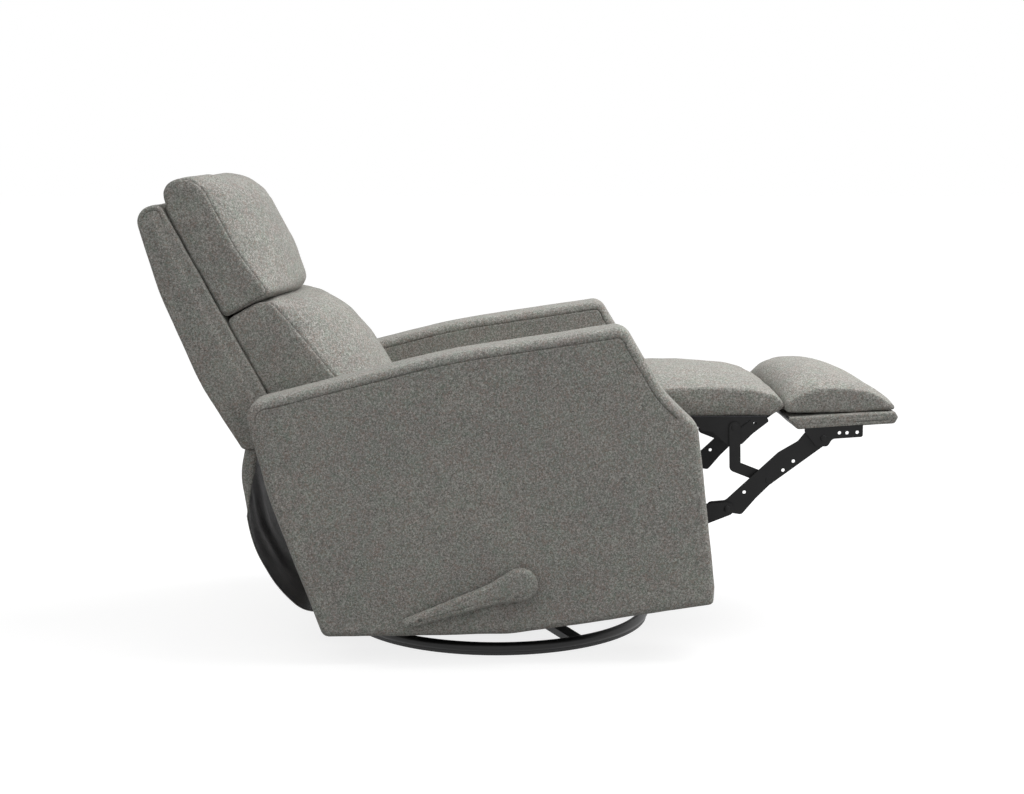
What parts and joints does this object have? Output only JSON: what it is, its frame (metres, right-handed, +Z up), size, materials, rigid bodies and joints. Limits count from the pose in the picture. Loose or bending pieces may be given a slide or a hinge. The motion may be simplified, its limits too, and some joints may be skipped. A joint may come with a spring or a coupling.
{
  "type": "swivel glider recliner",
  "caption": "Upholstered recliner that swivels on a ring base, glides on hanging links, and lies back with a folding two-pad footrest worked by a side lever.",
  "frame": {"origin": "on the floor, on the swivel axis", "axes": "+Z up, the front of the chair faces -Y, +X towards the sitter's left"},
  "size_m": [0.786, 1.4879, 0.9331],
  "materials": {
    "tweed": "grey-brown heathered tweed",
    "black_cloth": "black dust cloth over plywood",
    "wood": "raw plywood",
    "base_enamel": "semi-gloss black enamel",
    "black_steel": "satin black",
    "floor_plastic": "matt",
    "bearing_steel": "ground",
    "zinc": "zinc plated",
    "stop_rubber": "matt"
  },
  "bodies": {
    "base": {"base_ring": "base_enamel", "floor_strip": "floor_plastic", "cross_arms": "base_enamel", "hub_plate": "base_enamel", "lower_bearing_race": "bearing_steel", "bearing_balls": "bearing_steel", "king_bolt": "zinc"},
    "swivel": {"upper_bearing_race": "bearing_steel", "swivel_platform": "black_steel", "glide_bracket_left": "black_steel", "glide_bracket_right": "black_steel", "platform_bolts": "zinc", "upper_glide_pins": "zinc"},
    "front_links": {"front_glide_links": "black_steel"},
    "rear_links": {"rear_glide_links": "black_steel"},
    "carriage": {"carriage_rail_left": "black_steel", "carriage_rail_right": "black_steel", "carriage_cross_tubes": "black_steel", "lower_glide_pins": "zinc", "tilt_ears": "black_steel", "stop_pads": "stop_rubber"},
    "seat_box": {"side_plate_left": "black_steel", "side_plate_right": "black_steel", "seat_frame": "wood", "seat_springs": "zinc", "seat_cushion": "tweed", "tilt_plates": "black_steel", "arm_frame_left": "wood", "arm_frame_right": "wood", "arm_cover_left": "tweed", "arm_cover_right": "tweed", "rear_stretcher": "wood", "rear_skirt": "tweed", "frame_spacers": "zinc", "frame_bolts": "zinc", "pivot_pins": "zinc"},
    "back": {"back_frame": "wood", "back_cover": "tweed", "head_cushion": "tweed", "lumbar_cushion": "tweed", "back_brackets": "black_steel"},
    "lever": {"handle_lever": "tweed", "drive_tube": "black_steel", "drive_cranks": "black_steel"},
    "drive": {"drive_links": "black_steel"},
    "lift": {"lift_link_left": "black_steel", "lift_link_right": "black_steel", "lift_rivets": "zinc"},
    "ottoman": {"ottoman_link_left": "black_steel", "ottoman_link_right": "black_steel", "ottoman_rivets": "zinc"},
    "control": {"control_links": "black_steel"},
    "bent": {"bent_links": "black_steel"},
    "calf": {"calf_brackets": "black_steel", "calf_board": "black_cloth", "calf_pad": "tweed"},
    "footrest": {"footrest_brackets": "black_steel", "footrest_board": "tweed", "foot_pad": "tweed"}
  },
  "joints": [
    {"name": "swivel_turn", "type": "hinge", "parent": "base", "child": "swivel", "pos_m": [0, 0, 0], "axis": [0, 0, 1], "continuous": true},
    {"name": "glide", "type": "hinge", "parent": "swivel", "child": "front_links", "pos_m": [0, -0.15, 0.225], "axis": [1, 0, 0], "range_deg": [-26, 26]},
    {"name": "carriage_level", "type": "hinge", "parent": "front_links", "child": "carriage", "pos_m": [0, -0.15, 0.105], "axis": [1, 0, 0], "range_deg": [-26.01, 26.01]},
    {"name": "rear_glide", "type": "hinge", "parent": "swivel", "child": "rear_links", "pos_m": [0, 0.15, 0.225], "axis": [1, 0, 0], "range_deg": [-26.01, 26.01]},
    {"name": "recline", "type": "hinge", "parent": "carriage", "child": "seat_box", "pos_m": [0, -0.12, 0.23973], "axis": [1, 0, 0], "range_deg": [0, 8]},
    {"name": "back_fold", "type": "hinge", "parent": "seat_box", "child": "back", "pos_m": [0, 0.275, 0.392], "axis": [1, 0, 0], "range_deg": [0, 10.01]},
    {"name": "footrest_fold", "type": "hinge", "parent": "seat_box", "child": "lift", "pos_m": [0, -0.323, 0.268], "axis": [1, 0, 0], "range_deg": [0, 94]},
    {"name": "lever_turn", "type": "hinge", "parent": "seat_box", "child": "lever", "pos_m": [0, -0.04, 0.162], "axis": [1, 0, 0], "range_deg": [0, 94.01]},
    {"name": "drive_link_turn", "type": "hinge", "parent": "lever", "child": "drive", "pos_m": [0, -0.08619, 0.14287], "axis": [1, 0, 0], "range_deg": [-94.01, 0]},
    {"name": "ottoman_turn", "type": "hinge", "parent": "lift", "child": "ottoman", "pos_m": [0, -0.452, 0.277], "axis": [1, 0, 0], "range_deg": [-148.01, 0]},
    {"name": "control_turn", "type": "hinge", "parent": "seat_box", "child": "control", "pos_m": [0, -0.283, 0.2645], "axis": [1, 0, 0], "range_deg": [0, 81.29]},
    {"name": "bent_turn", "type": "hinge", "parent": "ottoman", "child": "bent", "pos_m": [0, -0.534, 0.334], "axis": [1, 0, 0], "range_deg": [0, 35.71]},
    {"name": "calf_turn", "type": "hinge", "parent": "seat_box", "child": "calf", "pos_m": [0, -0.29, 0.488], "axis": [1, 0, 0], "range_deg": [0, 94.01]},
    {"name": "foot_pad_turn", "type": "hinge", "parent": "ottoman", "child": "footrest", "pos_m": [0, -0.64, 0.418], "axis": [1, 0, 0], "range_deg": [0, 145.01]}
  ],
  "couplings": [
    {"joint": "carriage_level", "follows": "glide", "ratio": -1},
    {"joint": "rear_glide", "follows": "glide", "ratio": 1},
    {"joint": "back_fold", "follows": "recline", "ratio": 1.25},
    {"joint": "lever_turn", "follows": "footrest_fold", "ratio": 1},
    {"joint": "drive_link_turn", "follows": "footrest_fold", "ratio": -1},
    {"joint": "ottoman_turn", "follows": "footrest_fold", "ratio": -1.5745},
    {"joint": "control_turn", "follows": "footrest_fold", "ratio": 0.86468},
    {"joint": "bent_turn", "follows": "footrest_fold", "ratio": 0.37977},
    {"joint": "calf_turn", "follows": "footrest_fold", "ratio": 1},
    {"joint": "foot_pad_turn", "follows": "footrest_fold", "ratio": 1.5426}
  ]
}
